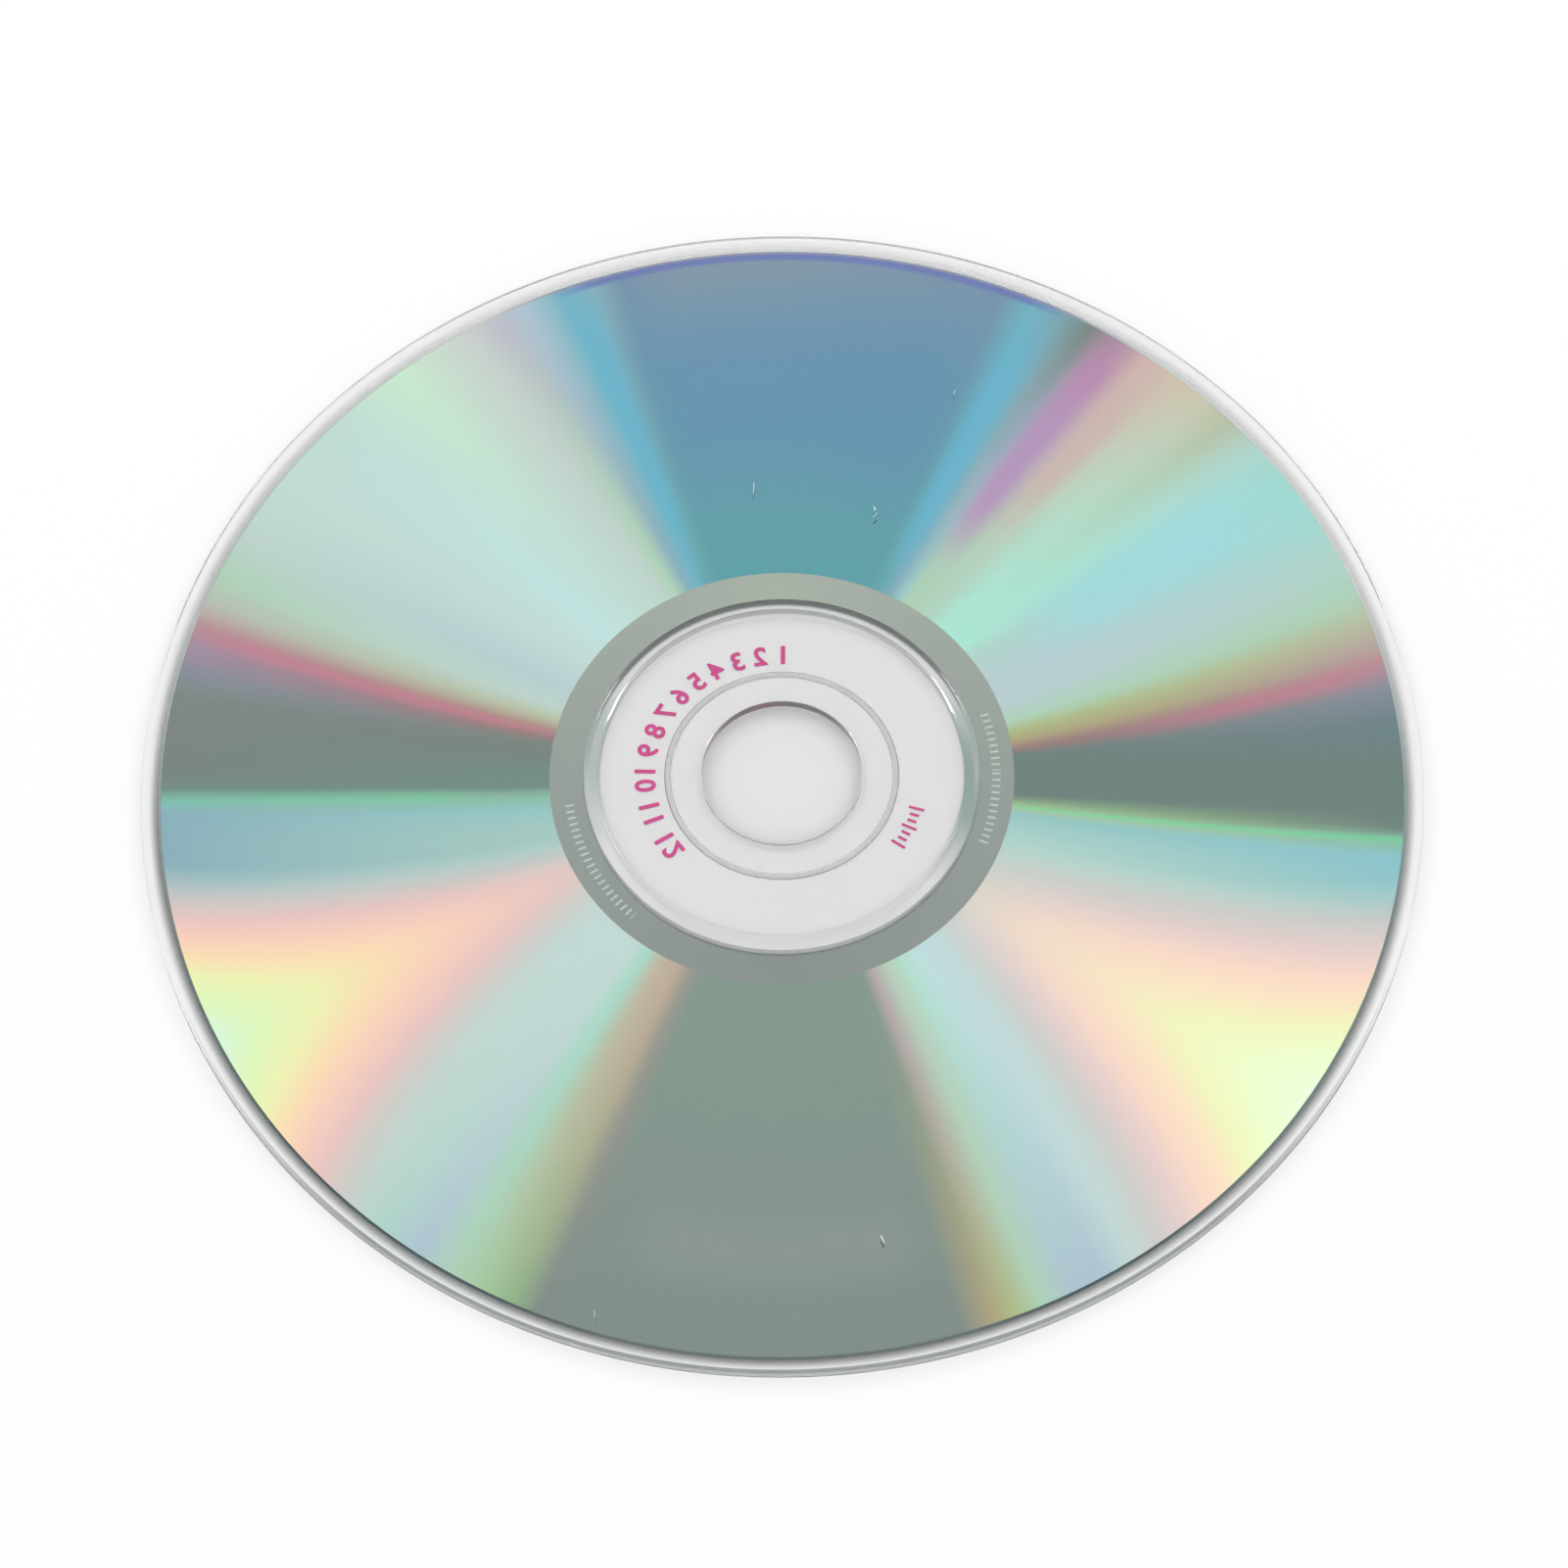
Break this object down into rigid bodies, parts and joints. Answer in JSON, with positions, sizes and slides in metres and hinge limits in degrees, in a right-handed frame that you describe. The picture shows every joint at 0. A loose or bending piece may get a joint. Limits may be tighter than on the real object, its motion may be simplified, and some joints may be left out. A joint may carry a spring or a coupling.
{
  "type": "recordable compact disc",
  "caption": "Recordable optical disc: clear moulded disc with centre hole, clamping hub and stacking ring, carrying recording, mirror and lacquer coats.",
  "frame": {"origin": "on the disc's axis, at the face that it lies on (the label side)", "axes": "+Z along the disc's axis, out of the read side; X and Y lie in the disc, and the disc's form is the same all the way round"},
  "size_m": [0.12, 0.12, 0.0014],
  "materials": {
    "clear_polycarbonate": "clear and polished",
    "recording_coat": "fine spiral grooves that split light into bands of pastel colour",
    "mirror_coat": "smooth silver, a little green through the clear disc",
    "clear_lacquer": "clear and glossy",
    "hub_ink": "printed ink",
    "dust": "a few pale specks and fibres that lie on the read side"
  },
  "bodies": {
    "root": {"substrate": "clear_polycarbonate", "recording_layer": "recording_coat", "reflective_layer": "mirror_coat", "lacquer_coat": "clear_lacquer"}
  },
  "joints": []
}
